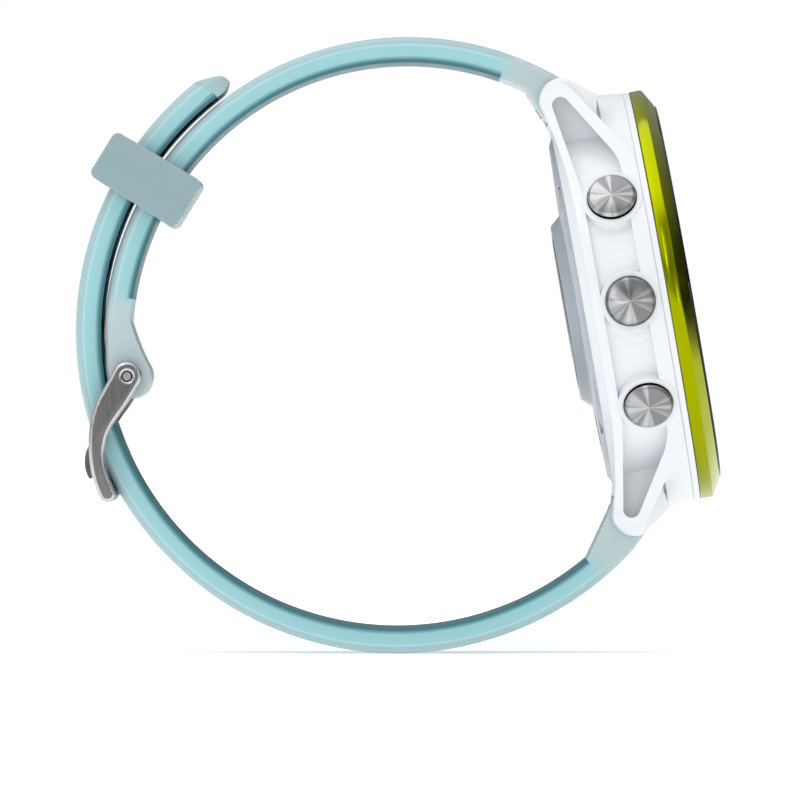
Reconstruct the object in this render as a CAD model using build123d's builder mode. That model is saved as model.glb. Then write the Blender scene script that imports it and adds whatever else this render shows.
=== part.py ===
"""GPS running watch with a two-layer rubber band, closed round the wrist and standing on its band.

The part stands upright: +Z is up, +Y runs across the band from the nine o'clock side to the three
o'clock side, and +X points from the wrist toward the dial. The origin is the middle of the optical
sensor's window, where the watch meets the wrist. The dial leans back by a few degrees, so the head is
drawn on two leaning planes: "dial", which faces out of the watch, and "side", whose first coordinate
is the height above the wrist and whose second one points to twelve o'clock.
"""

from build123d import *
import math
import os

os.makedirs("parts", exist_ok=True)

# ---------------------------------------------------------------- driving dimensions, in millimetres
DIAL_LEAN = 10.0
SNUG = 0.05
RUNNING_FIT = 0.05
BODY_GAP = 0.3

# head: heights are measured from the sensor window, along the dial's normal
CASE_RADIUS = 21.15
BEZEL_RADIUS = 21.2
PANEL_RADIUS = 20.4
CAVITY_RADIUS = 17.9
PANEL_HEIGHTS = (3.6, 8.0)
CASE_BOTTOM = 1.75
CASE_TOP = 10.3
BEZEL_BOTTOM = 10.35
BEZEL_SHOULDER = 11.65
BEZEL_TOP = 12.6
GLASS_BOTTOM = 11.6
GLASS_TOP = 12.85
GLASS_RADIUS = 19.35

# lugs and spring bars
BAND_WIDTH = 20.0
SLOT_HALF_WIDTH = 10.15
EAR_PLATE = 11.0
EAR_OUTER = 12.5
BAR_HEIGHT = 2.95
BAR_REACH = 21.5
SLOT_WALL = 19.35
BAR_TUBE_RADIUS = 0.8
BAR_TIP_RADIUS = 0.42
EAR_HOLE_RADIUS = 0.5
EAR_HOLE_END = 10.8

# buttons
BUTTON_HEIGHT = 6.5
BUTTON_RADIUS = 2.465
BUTTON_FACE = 22.0
BOSS_RADIUS = 3.05
BOSS_FACE = 21.35
STEM_RADIUS = 0.9
STEM_END = 17.0
BUTTON_ANGLES = {"light": 150, "up": 180, "down": 210, "start": 30, "back": -30}

# band: two arcs that lie over each other on the far side of the loop
BAND_THICKNESS = 2.6
LINER_THICKNESS = 0.6
SHORT_CENTRE = (-16.15, -2.85)
SHORT_INNER = 28.4
LONG_CENTRE = (-17.25, -1.98)
LONG_INNER = 30.2
SHORT_LINER_ARC = (70.7, 171.4)
LONG_LINER_ARC = (309.8, 127.5)
TAIL_ANGLE = 127.5
TAIL_BULGE = 2.2
HOLE_LENGTH = 5.2
HOLE_WIDTH = 2.8
HOLE_PITCH = 12.4
TONGUE_HOLE_ANGLE = 197.5

# buckle and keeper
PIN = (-44.8, -6.5)
PIN_RADIUS = 0.8
PIN_TIP_RADIUS = 0.42
FRAME_INNER = 10.4
FRAME_OUTER = 12.1
TONGUE_HALF_WIDTH = 1.0
KEEPER_ANGLE = 148.4
KEEPER_RADII = (26.4, 36.7)
KEEPER_WALL = 1.4
KEEPER_HALF_WIDTH = 12.0

# case
TIP_CENTRE = (2.9, 21.45)
TIP_RADIUS = 1.8
SHOULDER = (8.75, 15.9)
FRONT_EDGE = 9.6
FRONT_REACH = 12.6
BACK_EDGE = 2.6
BACK_REACH = 9.5
EAR_LARGE = ((2.2, 17.0), (0.95, 21.3), (1.75, 23.1), (4.1, 23.55), (6.95, 21.4), (6.2, 17.0))
EAR_SMALL = ((2.3, 17.0), (1.15, 21.4), (2.0, 22.95), (4.3, 22.55), (6.4, 19.3), (6.0, 17.0))
CAP_BORE_FLOOR = 20.2
SEAL_FLOOR = 19.4
SEAL_RADIUS = 1.6
CAP_CLEARANCE = 0.1
SCREW_REACH = 16.2
SCREW_RADIUS = 0.8
SCREW_ANGLES = (45, 135, 225, 315)
FLANGE_TOP = 3.0
FLANGE_RADIUS = 14.4
PLATE_RADIUS = 18.0
PLATE_TOP = 2.15
GASKET_RADII = (14.8, 15.3)

# case back and sensor
WINDOW_RADIUS = 7.8
WINDOW_THICKNESS = 0.85
BUMP_RADII = (9.0, 9.95)
SENSOR_OPENING = 6.8
SOCKET_SIZE = (7.4, 3.4)
SOCKET_REACH = -12.4
SOCKET_FLOOR = 1.9
SOCKET_PIN_SPACING = 1.5

# inside the case
BOARD_BOTTOM = 6.4
BOARD_THICKNESS = 0.8
SWITCH_FACE = 16.4

# spring bars at the lugs
TUBE_HALF = 9.9
TUBE_BORE = 0.5
PIN_INNER_END = 2.5
TIP_LENGTH = 0.8
LEVER_PLACE = 6.2
LEVER_TRAVEL = 1.2
LEVER_RADIUS = 0.35
LEVER_KNOB = 0.55
LEVER_LENGTH = 1.8
LEVER_KNOB_HEIGHT = 0.45

# band
HEEL = (1.05, 20.4)
HEEL_FOOT = (1.7, 19.6)
NOSE = (6.1, 19.65)
NOSE_TIP = (6.4, 21.4)
BULB_CENTRE = (-44.65, -6.5)
BULB_RADIUS = 2.3

# heights and sizes of the smaller pieces
BAND_FLANK_ROUND = 0.8
SENSOR_BOARD_HEIGHTS = (1.35, 1.95)
OPTICS_BOTTOM = 0.95
OPTICS_THICKNESS = 0.4
SCREW_HEAD_BOTTOM = 1.42
SCREW_HEAD_TOP = 1.7
SCREW_HEAD_RADIUS = 1.25
SCREW_HEAD_BORE = 1.35
SCREW_LENGTH = 2.2
SCREW_SOCKET_RADIUS = 0.5
CAVITY_FLOOR = 3.1
BATTERY_SIZE = (15, 20, 3.1)
BATTERY_PLACE = (-3.0, 0)
MOTOR_RADIUS = 4.0
MOTOR_PLACE = (10.4, 4.6)
MOTOR_THICKNESS = 1.75
SPEAKER_SIZE = (7.4, 8.4)
SPEAKER_PLACE = (10.0, -4.9)
BOARD_RADIUS = 14.3
CHIP_HEIGHT = 0.9
CHIPS = (((-4.5, 3.5), (7, 7)), ((5.0, 5.0), (5, 6)), ((4.5, -5.0), (6, 4)), ((-5.0, -6.0), (4, 4)))
INNER_FRAME_HEIGHTS = (8.4, 10.2)
INNER_FRAME_BORE = 15.0
ANTENNA_BORE = 16.8
ANTENNA_HEIGHTS = (10.25, 10.6)
PANEL_GLASS_RADIUS = 16.6
GASKET_WIDTH_RADII = (18.6, 19.2)
CAP_THICKNESS = 1.2
CAP_EDGE = 0.22
GLASS_EDGE = 0.15
CLIP_RADIUS = 1.6
KEEPER_ROUND = 0.7
PARTING_HEIGHT = 9.6
PARTING_DEPTH = 0.08
PARTING_WIDTH = 0.12

# ---------------------------------------------------------------- shared planes
lean = math.radians(DIAL_LEAN)
outward = (math.cos(lean), 0, math.sin(lean))
dial = Plane(origin=(0, 0, 0), x_dir=(0, 1, 0), z_dir=outward)
side = Plane(origin=(0, 0, 0), x_dir=outward, z_dir=(0, -1, 0))
loop = Plane.XZ
dial_axis = Axis((0, 0, 0), outward)


def on_circle(centre, radius, degrees):
    """A point of the loop plane on a circle."""
    turn = math.radians(degrees)
    return (centre[0] + radius * math.cos(turn), centre[1] + radius * math.sin(turn))


def head_point(height, reach):
    """A point of the head's side plane, given in the upright loop plane."""
    spot = side.from_local_coords((height, reach, 0))
    return (spot.X, spot.Z)


def across(point, start):
    """A plane that faces +Y at a point of the loop plane, at the given place across the band."""
    return Plane(origin=(point[0], start, point[1]), x_dir=(1, 0, 0), z_dir=(0, 1, 0))


def save(part, name):
    """Labels a finished piece and writes its file."""
    part.label = name
    export_step(part, f"parts/{name}.step")


def ring(name, inner, outer, bottom, top, edge=0.0):
    """A round piece centred on the dial's axis, with an optional chamfer round its upper outer edge."""
    with BuildPart() as piece:
        with BuildSketch(dial.offset(bottom)):
            Circle(outer)
            if inner:
                Circle(inner, mode=Mode.SUBTRACT)
        extrude(amount=top - bottom)
        if edge:
            rim = piece.edges().filter_by(GeomType.CIRCLE).sort_by(dial_axis).group_by(SortBy.RADIUS)[-1]
            chamfer(rim.sort_by(dial_axis)[-1], edge)
    save(piece.part, name)


# ---------------------------------------------------------------- case
def rim_outline():
    """The flat rim of the case's flank, from the upper lug's tip round to the lower one's."""
    for sign in (1, -1):
        heel = (TIP_CENTRE[0] - TIP_RADIUS, sign * TIP_CENTRE[1])
        crown = (TIP_CENTRE[0], sign * (TIP_CENTRE[1] + TIP_RADIUS))
        toe = (TIP_CENTRE[0] + TIP_RADIUS * 0.84, sign * (TIP_CENTRE[1] + TIP_RADIUS * 0.54))
        ThreePointArc((BACK_EDGE, sign * BACK_REACH), (2.15, sign * 16.2), heel)
        ThreePointArc(heel, (TIP_CENTRE[0] - 1.27, sign * (TIP_CENTRE[1] + 1.27)), crown)
        ThreePointArc(crown, (TIP_CENTRE[0] + 0.94, sign * (TIP_CENTRE[1] + 1.53)), toe)
        Line(toe, (SHOULDER[0], sign * SHOULDER[1]))
        shoulder_bend = (9.38, sign * 14.45)
        ThreePointArc((SHOULDER[0], sign * SHOULDER[1]), shoulder_bend, (FRONT_EDGE, sign * FRONT_REACH))
    Line((BACK_EDGE, -BACK_REACH), (BACK_EDGE, BACK_REACH))
    Line((FRONT_EDGE, -FRONT_REACH), (FRONT_EDGE, FRONT_REACH))


def channel_outline():
    """The recess inside the rim: a panel between the buttons that narrows into both lugs."""
    low, high = PANEL_HEIGHTS
    for sign in (1, -1):
        ThreePointArc((low, sign * 12.2), (2.85, sign * 16.8), (2.25, sign * 20.6))
        ThreePointArc((2.25, sign * 20.6), (2.9, sign * 21.75), (3.8, sign * 21.35))
        Line((3.8, sign * 21.35), (7.35, sign * 15.6))
        ThreePointArc((7.35, sign * 15.6), (7.85, sign * 14.3), (high, sign * 12.8))
    Line((low, -12.2), (low, 12.2))
    Line((high, -12.8), (high, 12.8))


def plan_outline():
    """The case seen from the front: round in the middle, with flanks that sweep in to the lugs."""
    leave = math.radians(30)
    flank = 20.95
    side_point = (flank * math.cos(leave), flank * math.sin(leave))
    for across_sign in (1, -1):
        for up_sign in (1, -1):
            start = (across_sign * side_point[0], up_sign * side_point[1])
            end = (across_sign * EAR_OUTER, up_sign * 22.6)
            TangentArc(start, end, tangent=(-across_sign * 0.5, up_sign * 0.866))
            Line(end, (across_sign * (EAR_OUTER - 0.25), up_sign * 24.5))
        ThreePointArc(
            (across_sign * side_point[0], -side_point[1]),
            (across_sign * flank, 0),
            (across_sign * side_point[0], side_point[1]),
        )
    for up_sign in (1, -1):
        Line((EAR_OUTER - 0.25, up_sign * 24.5), (-EAR_OUTER + 0.25, up_sign * 24.5))


with BuildPart() as rims:
    with BuildSketch(side):
        with BuildLine():
            rim_outline()
        make_face()
    extrude(amount=CASE_RADIUS + 1, both=True)
    with BuildSketch(dial):
        with BuildLine():
            plan_outline()
        make_face()
    extrude(amount=BEZEL_BOTTOM, mode=Mode.INTERSECT)

with BuildPart() as channel:
    with BuildSketch(side):
        with BuildLine():
            channel_outline()
        make_face()
    extrude(amount=CASE_RADIUS + 4, both=True)
    with BuildSketch(dial):
        Circle(PANEL_RADIUS)
        Rectangle(2 * EAR_PLATE, 60)
    extrude(amount=BEZEL_BOTTOM, mode=Mode.SUBTRACT)


def ear_sketch(plane, points, sign):
    """One lug's ear in outline, its tip rounded between the second and the fourth point."""
    corners = [(height, sign * reach) for height, reach in points]
    with BuildSketch(plane) as outline:
        with BuildLine():
            ThreePointArc(corners[1], corners[2], corners[3])
            Polyline(corners[3], corners[4], corners[5], corners[0], corners[1])
        make_face()
    return outline.sketch


def ear(lug_sign, flank_sign):
    """One ear: a straight plate, then a bevel that narrows to the flat rim."""
    inner = side.offset(flank_sign * (SLOT_HALF_WIDTH - 0.5))
    middle = side.offset(flank_sign * (EAR_PLATE + 0.3))
    outer = side.offset(flank_sign * (EAR_OUTER - 0.2))
    with BuildPart() as piece:
        add(ear_sketch(inner, EAR_LARGE, lug_sign))
        add(ear_sketch(middle, EAR_LARGE, lug_sign))
        loft(ruled=True)
    with BuildPart() as bevel:
        add(ear_sketch(middle, EAR_LARGE, lug_sign))
        add(ear_sketch(outer, EAR_SMALL, lug_sign))
        loft(ruled=True)
    return [piece.part, bevel.part]


def button_plane(angle, radius):
    """A plane that faces out of the case at a button, at the given distance from the dial's axis."""
    turn = math.radians(angle)
    spot = (radius * math.cos(turn), radius * math.sin(turn), BUTTON_HEIGHT)
    direction = dial.from_local_coords((math.cos(turn), math.sin(turn), 0))
    return Plane(origin=dial.from_local_coords(spot), x_dir=outward, z_dir=direction)


with BuildPart() as case_middle:
    with BuildSketch(side):
        Polygon(
            (CASE_BOTTOM, 0),
            (CASE_BOTTOM, 19.5),
            (2.55, PANEL_RADIUS),
            (6.75, PANEL_RADIUS),
            (6.95, 21.5),
            (CASE_TOP, CASE_RADIUS),
            (CASE_TOP, 0),
            align=None,
        )
    revolve(axis=dial_axis)
    add(rims.part)
    for lug in (1, -1):
        for flank_side in (1, -1):
            add(ear(lug, flank_side))
    add(channel.part, mode=Mode.SUBTRACT)
    # slots for the band ends, under the drum's lower corner
    for lug in (1, -1):
        with BuildSketch(side):
            Polygon(
                (-1, lug * SLOT_WALL),
                (6.3, lug * SLOT_WALL),
                (6.95, lug * 21.52),
                (7.6, lug * 26),
                (-1, lug * 26),
                align=None,
            )
        extrude(amount=SLOT_HALF_WIDTH, both=True, mode=Mode.SUBTRACT)
    # button bosses
    for angle in BUTTON_ANGLES.values():
        with BuildSketch(button_plane(angle, BOSS_FACE)):
            Circle(BOSS_RADIUS)
        extrude(amount=-(BOSS_FACE - CAVITY_RADIUS), taper=-3)
    # the groove that marks where the case meets the bezel's seat
    with BuildSketch(dial.offset(PARTING_HEIGHT)):
        Circle(CASE_RADIUS + 1)
        Circle(CASE_RADIUS - PARTING_DEPTH, mode=Mode.SUBTRACT)
    extrude(amount=PARTING_WIDTH, mode=Mode.SUBTRACT)
    # inside: the cavity, the flange's opening and the seat of the case back
    with BuildSketch(dial.offset(FLANGE_TOP)):
        Circle(CAVITY_RADIUS)
    extrude(amount=CASE_TOP, mode=Mode.SUBTRACT)
    with BuildSketch(dial):
        Circle(FLANGE_RADIUS)
    extrude(amount=FLANGE_TOP, mode=Mode.SUBTRACT)
    with BuildSketch(dial):
        Circle(PLATE_RADIUS + SNUG)
    extrude(amount=PLATE_TOP, mode=Mode.SUBTRACT)
    with BuildSketch(dial.offset(PLATE_TOP)):
        Circle(GASKET_RADII[1] + SNUG)
        Circle(GASKET_RADII[0] - SNUG, mode=Mode.SUBTRACT)
    extrude(amount=0.45, mode=Mode.SUBTRACT)
    # posts and threads for the case back's screws
    with BuildSketch(dial.offset(FLANGE_TOP)):
        with PolarLocations(SCREW_REACH, len(SCREW_ANGLES), start_angle=SCREW_ANGLES[0]):
            Circle(1.5)
    extrude(amount=1.6)
    with BuildSketch(dial.offset(PLATE_TOP)):
        with PolarLocations(SCREW_REACH, len(SCREW_ANGLES), start_angle=SCREW_ANGLES[0]):
            Circle(SCREW_RADIUS - 0.1)
    extrude(amount=2.0, mode=Mode.SUBTRACT)
    # stepped bores for the buttons: cap, seal and stem
    for angle in BUTTON_ANGLES.values():
        with BuildSketch(button_plane(angle, BUTTON_FACE)):
            Circle(BUTTON_RADIUS + CAP_CLEARANCE)
        extrude(amount=-(BUTTON_FACE - CAP_BORE_FLOOR), mode=Mode.SUBTRACT)
        with BuildSketch(button_plane(angle, BUTTON_FACE)):
            Circle(SEAL_RADIUS + 0.03)
        extrude(amount=-(BUTTON_FACE - SEAL_FLOOR), mode=Mode.SUBTRACT)
        with BuildSketch(button_plane(angle, BUTTON_FACE)):
            Circle(STEM_RADIUS + RUNNING_FIT)
        extrude(amount=-(BUTTON_FACE - CAVITY_RADIUS + 2), mode=Mode.SUBTRACT)
    # blind holes in the ears for the spring bars' tips
    for lug in (1, -1):
        bar = head_point(BAR_HEIGHT, lug * BAR_REACH)
        with BuildSketch(across(bar, 0)):
            Circle(EAR_HOLE_RADIUS)
        extrude(amount=EAR_HOLE_END, both=True, mode=Mode.SUBTRACT)
save(case_middle.part, "case_middle")


# ---------------------------------------------------------------- case back and sensor
with BuildPart() as case_back:
    with BuildSketch(side):
        Polygon(
            (0.06, 0),
            (0.06, BUMP_RADII[0]),
            (1.12, BUMP_RADII[1]),
            (1.35, 17.2),
            (1.75, PLATE_RADIUS),
            (PLATE_TOP, PLATE_RADIUS),
            (PLATE_TOP, 0),
            align=None,
        )
    revolve(axis=dial_axis)
    with BuildSketch(dial):
        Circle(WINDOW_RADIUS + SNUG)
    extrude(amount=WINDOW_THICKNESS, mode=Mode.SUBTRACT)
    with BuildSketch(dial):
        Circle(SENSOR_OPENING)
    extrude(amount=PLATE_TOP, mode=Mode.SUBTRACT)
    with BuildSketch(dial):
        with Locations((0, SOCKET_REACH)):
            SlotOverall(SOCKET_SIZE[0], SOCKET_SIZE[1])
    extrude(amount=PLATE_TOP, mode=Mode.SUBTRACT)
    with BuildSketch(dial):
        with PolarLocations(SCREW_REACH, len(SCREW_ANGLES), start_angle=SCREW_ANGLES[0]):
            Circle(SCREW_HEAD_BORE)
    extrude(amount=SCREW_HEAD_TOP, mode=Mode.SUBTRACT)
    with BuildSketch(dial):
        with PolarLocations(SCREW_REACH, len(SCREW_ANGLES), start_angle=SCREW_ANGLES[0]):
            Circle(SCREW_RADIUS + SNUG)
    extrude(amount=PLATE_TOP, mode=Mode.SUBTRACT)
save(case_back.part, "case_back")

ring("sensor_window", 0, WINDOW_RADIUS, 0, WINDOW_THICKNESS)
ring("sensor_board", 0, SENSOR_OPENING - 0.1, *SENSOR_BOARD_HEIGHTS)
ring("back_gasket", GASKET_RADII[0], GASKET_RADII[1], PLATE_TOP, PLATE_TOP + 0.4)

# light emitters in the middle of the sensor board, light detectors round them
with BuildPart() as sensor_optics:
    with BuildSketch(dial.offset(OPTICS_BOTTOM)):
        Rectangle(2.4, 2.4)
        with PolarLocations(4.2, 4):
            Rectangle(1.8, 1.8)
    extrude(amount=OPTICS_THICKNESS)
save(sensor_optics.part, "sensor_optics")

for number, angle in enumerate(SCREW_ANGLES, start=1):
    spot = (SCREW_REACH * math.cos(math.radians(angle)), SCREW_REACH * math.sin(math.radians(angle)))
    with BuildPart() as screw:
        with BuildSketch(dial.offset(SCREW_HEAD_BOTTOM)):
            with Locations(spot):
                Circle(SCREW_HEAD_RADIUS)
        extrude(amount=SCREW_HEAD_TOP - SCREW_HEAD_BOTTOM)
        with BuildSketch(dial.offset(SCREW_HEAD_TOP)):
            with Locations(spot):
                Circle(SCREW_RADIUS - 0.12)
        extrude(amount=SCREW_LENGTH)
        with BuildSketch(dial.offset(SCREW_HEAD_BOTTOM)):
            with Locations(spot):
                RegularPolygon(SCREW_SOCKET_RADIUS, 6)
        extrude(amount=0.5, mode=Mode.SUBTRACT)
    save(screw.part, f"case_back_screw_{number}")

with BuildPart() as charge_socket:
    with BuildSketch(dial.offset(SOCKET_FLOOR)):
        with Locations((0, SOCKET_REACH)):
            SlotOverall(SOCKET_SIZE[0] - 0.1, SOCKET_SIZE[1] - 0.1)
    extrude(amount=0.6)
save(charge_socket.part, "charge_socket")

with BuildPart() as charge_pins:
    with BuildSketch(dial.offset(SOCKET_FLOOR - 0.45)):
        with Locations((0, SOCKET_REACH)):
            with GridLocations(SOCKET_PIN_SPACING, 1, 4, 1):
                Circle(0.4)
    extrude(amount=0.45)
save(charge_pins.part, "charge_pins")

# ---------------------------------------------------------------- inside the case
with BuildPart() as battery:
    with BuildSketch(dial.offset(CAVITY_FLOOR)):
        with Locations(BATTERY_PLACE):
            RectangleRounded(BATTERY_SIZE[0], BATTERY_SIZE[1], 1.5)
    extrude(amount=BATTERY_SIZE[2])
save(battery.part, "battery")

with BuildPart() as vibration_motor:
    with BuildSketch(dial.offset(CAVITY_FLOOR)):
        with Locations(MOTOR_PLACE):
            Circle(MOTOR_RADIUS)
    extrude(amount=MOTOR_THICKNESS)
save(vibration_motor.part, "vibration_motor")

with BuildPart() as speaker:
    with BuildSketch(dial.offset(CAVITY_FLOOR)):
        with Locations(SPEAKER_PLACE):
            RectangleRounded(SPEAKER_SIZE[0], SPEAKER_SIZE[1], 1.0)
    extrude(amount=MOTOR_THICKNESS)
save(speaker.part, "speaker")

with BuildPart() as main_board:
    with BuildSketch(dial.offset(BOARD_BOTTOM)):
        Circle(BOARD_RADIUS)
        with PolarLocations(BOARD_RADIUS, 2, start_angle=90):
            Circle(1.6, mode=Mode.SUBTRACT)
    extrude(amount=BOARD_THICKNESS)
save(main_board.part, "main_board")

with BuildPart() as board_chips:
    with BuildSketch(dial.offset(BOARD_BOTTOM + BOARD_THICKNESS)):
        for place, size in CHIPS:
            with Locations(place):
                Rectangle(*size)
    extrude(amount=CHIP_HEIGHT)
save(board_chips.part, "board_chips")

# one dome switch behind each button's stem, on a small upright carrier at the board's edge
with BuildPart() as button_switches:
    for angle in BUTTON_ANGLES.values():
        with BuildSketch(button_plane(angle, SWITCH_FACE - 0.5)):
            RectangleRounded(3.2, 3.6, 0.4)
        extrude(amount=-1.4)
        with BuildSketch(button_plane(angle, SWITCH_FACE)):
            Circle(1.1)
        extrude(amount=-0.5)
save(button_switches.part, "button_switches")

ring("inner_frame", INNER_FRAME_BORE, CAVITY_RADIUS - SNUG, *INNER_FRAME_HEIGHTS)
ring("gnss_antenna", ANTENNA_BORE, CAVITY_RADIUS - 0.2, *ANTENNA_HEIGHTS)
ring("display_panel", 0, PANEL_GLASS_RADIUS, ANTENNA_HEIGHTS[0], GLASS_BOTTOM - 0.02)
ring("display_gasket", *GASKET_WIDTH_RADII, GLASS_BOTTOM - 0.05, GLASS_BOTTOM)
ring("cover_glass", 0, GLASS_RADIUS, GLASS_BOTTOM, GLASS_TOP, edge=GLASS_EDGE)

with BuildPart() as bezel:
    with BuildSketch(side):
        Polygon(
            (BEZEL_BOTTOM, 18.3),
            (BEZEL_BOTTOM, BEZEL_RADIUS - 0.25),
            (BEZEL_BOTTOM + 0.25, BEZEL_RADIUS),
            (BEZEL_SHOULDER, BEZEL_RADIUS),
            (BEZEL_TOP, 19.55),
            (BEZEL_TOP, GLASS_RADIUS + SNUG),
            (GLASS_BOTTOM - 0.05, GLASS_RADIUS + SNUG),
            (GLASS_BOTTOM - 0.05, 18.3),
            align=None,
        )
    revolve(axis=dial_axis)
save(bezel.part, "bezel")

# ---------------------------------------------------------------- buttons
for name, angle in BUTTON_ANGLES.items():
    with BuildPart() as cap:
        with BuildSketch(button_plane(angle, BUTTON_FACE)):
            Circle(BUTTON_RADIUS)
        extrude(amount=-CAP_THICKNESS)
        chamfer(cap.edges().filter_by(GeomType.CIRCLE).sort_by_distance(
            button_plane(angle, BUTTON_FACE).origin)[0], CAP_EDGE)
        with BuildSketch(button_plane(angle, BUTTON_FACE - CAP_THICKNESS)):
            Circle(STEM_RADIUS)
        extrude(amount=-(BUTTON_FACE - CAP_THICKNESS - STEM_END))
        with BuildSketch(button_plane(angle, STEM_END + 0.65)):
            Circle(STEM_RADIUS)
            Circle(STEM_RADIUS - 0.2, mode=Mode.SUBTRACT)
        extrude(amount=-0.3, mode=Mode.SUBTRACT)
    save(cap.part, f"button_{name}")
    with BuildPart() as clip:
        with BuildSketch(button_plane(angle, STEM_END + 0.62)):
            Circle(CLIP_RADIUS)
            Circle(STEM_RADIUS - 0.18, mode=Mode.SUBTRACT)
        extrude(amount=-0.24)
    save(clip.part, f"clip_{name}")
    with BuildPart() as seal:
        with BuildSketch(button_plane(angle, CAP_BORE_FLOOR - 0.02)):
            Circle(SEAL_RADIUS)
            Circle(STEM_RADIUS + RUNNING_FIT, mode=Mode.SUBTRACT)
        extrude(amount=-(CAP_BORE_FLOOR - SEAL_FLOOR - 0.02))
    save(seal.part, f"seal_{name}")

# ---------------------------------------------------------------- spring bars at the lugs
lever_bars = {"upper": 1, "lower": -1}


def lever_plane(lug, reach):
    """A plane that faces the wrist on the lever's line, at the given distance from the bar's middle."""
    direction = Vector(*head_point(-0.924, -0.382 * lug))
    bar = head_point(BAR_HEIGHT, lug * BAR_REACH)
    origin = (bar[0] + reach * direction.X, LEVER_PLACE, bar[1] + reach * direction.Y)
    return Plane(origin=origin, x_dir=(0, 1, 0), z_dir=(direction.X, 0, direction.Y))


for name, lug in lever_bars.items():
    bar = head_point(BAR_HEIGHT, lug * BAR_REACH)
    with BuildPart() as tube:
        with BuildSketch(across(bar, -TUBE_HALF)):
            Circle(BAR_TUBE_RADIUS)
        extrude(amount=2 * TUBE_HALF)
        with BuildSketch(across(bar, -TUBE_HALF - TIP_LENGTH)):
            Circle(BAR_TIP_RADIUS)
        extrude(amount=TIP_LENGTH)
        with BuildSketch(across(bar, -7)):
            Circle(TUBE_BORE)
        extrude(amount=TUBE_HALF + 7.5, mode=Mode.SUBTRACT)
        with BuildSketch(lever_plane(lug, 0)):
            with Locations((-LEVER_TRAVEL / 2, 0)):
                SlotCenterToCenter(LEVER_TRAVEL + 0.1, 2 * (LEVER_RADIUS + 0.12))
        extrude(amount=2, mode=Mode.SUBTRACT)
    save(tube.part, f"spring_bar_{name}")
    with BuildPart() as pin:
        with BuildSketch(across(bar, PIN_INNER_END)):
            Circle(BAR_TIP_RADIUS)
        extrude(amount=TUBE_HALF + TIP_LENGTH - PIN_INNER_END)
        with BuildSketch(lever_plane(lug, 0)):
            Circle(LEVER_RADIUS)
        extrude(amount=LEVER_LENGTH)
        with BuildSketch(lever_plane(lug, LEVER_LENGTH)):
            Circle(LEVER_KNOB)
        extrude(amount=LEVER_KNOB_HEIGHT)
    save(pin.part, f"quick_release_{name}")

# ---------------------------------------------------------------- band
short_outer = SHORT_INNER + BAND_THICKNESS
long_outer = LONG_INNER + BAND_THICKNESS


def arc_through(centre, radius, start, end):
    """An arc of a circle between two angles."""
    middle = (start + end) / 2
    ThreePointArc(
        on_circle(centre, radius, start), on_circle(centre, radius, middle), on_circle(centre, radius, end)
    )


def short_band_outline():
    """Side view of the buckle's half of the band, from the upper lug over the top to the pin."""
    ends = [head_point(height, reach) for height, reach in (NOSE_TIP, NOSE, HEEL_FOOT, HEEL)]
    Polyline(*ends, on_circle(SHORT_CENTRE, SHORT_INNER, 65.0))
    arc_through(SHORT_CENTRE, SHORT_INNER, 65.0, 176.0)
    bulb_top = on_circle(BULB_CENTRE, BULB_RADIUS, 25.0)
    ThreePointArc(on_circle(SHORT_CENTRE, SHORT_INNER, 176.0), (-43.35, -3.6), bulb_top)
    bulb_bottom = on_circle(BULB_CENTRE, BULB_RADIUS, -85.0)
    ThreePointArc(bulb_top, bulb_bottom, on_circle(BULB_CENTRE, BULB_RADIUS, 188.0))
    outer_end = on_circle(SHORT_CENTRE, short_outer, 185.0)
    Line(on_circle(BULB_CENTRE, BULB_RADIUS, 188.0), outer_end)
    arc_through(SHORT_CENTRE, short_outer, 185.0, 60.0)
    Line(on_circle(SHORT_CENTRE, short_outer, 60.0), ends[0])


def long_band_outline():
    """Side view of the holed half of the band, from the lower lug under the loop to its tail."""
    ends = [head_point(height, -reach) for height, reach in (NOSE_TIP, NOSE, HEEL_FOOT, HEEL)]
    Polyline(*ends, on_circle(LONG_CENTRE, LONG_INNER, 310.0))
    arc_through(LONG_CENTRE, LONG_INNER, 310.0, 126.0)
    tip_inner = on_circle(LONG_CENTRE, LONG_INNER + 0.4, 124.4)
    tip_outer = on_circle(LONG_CENTRE, LONG_INNER + 1.6, 124.2)
    Line(on_circle(LONG_CENTRE, LONG_INNER, 126.0), tip_inner)
    ThreePointArc(tip_inner, on_circle(LONG_CENTRE, LONG_INNER + 1.0, 123.6), tip_outer)
    Line(tip_outer, on_circle(LONG_CENTRE, long_outer, 128.5))
    arc_through(LONG_CENTRE, long_outer, 128.5, 317.0)
    Line(on_circle(LONG_CENTRE, long_outer, 317.0), ends[0])


def liner_outline(centre, inner, arc, margin):
    """The coloured layer on the wrist's side of a band, between two angles."""
    outer = inner + LINER_THICKNESS
    arc_through(centre, inner - margin, arc[0], arc[1])
    Line(on_circle(centre, inner - margin, arc[1]), on_circle(centre, outer, arc[1]))
    arc_through(centre, outer, arc[1], arc[0])
    Line(on_circle(centre, outer, arc[0]), on_circle(centre, inner - margin, arc[0]))


def band_plane(centre, radius, degrees):
    """A plane that faces out of the loop, its first direction running along the band."""
    turn = math.radians(degrees)
    spot = on_circle(centre, radius, degrees)
    along = (-math.sin(turn), 0, math.cos(turn))
    return Plane(origin=(spot[0], 0, spot[1]), x_dir=along, z_dir=(math.cos(turn), 0, math.sin(turn)))


hole_angles = [TONGUE_HOLE_ANGLE + HOLE_PITCH * step for step in range(-4, 4)]

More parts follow.
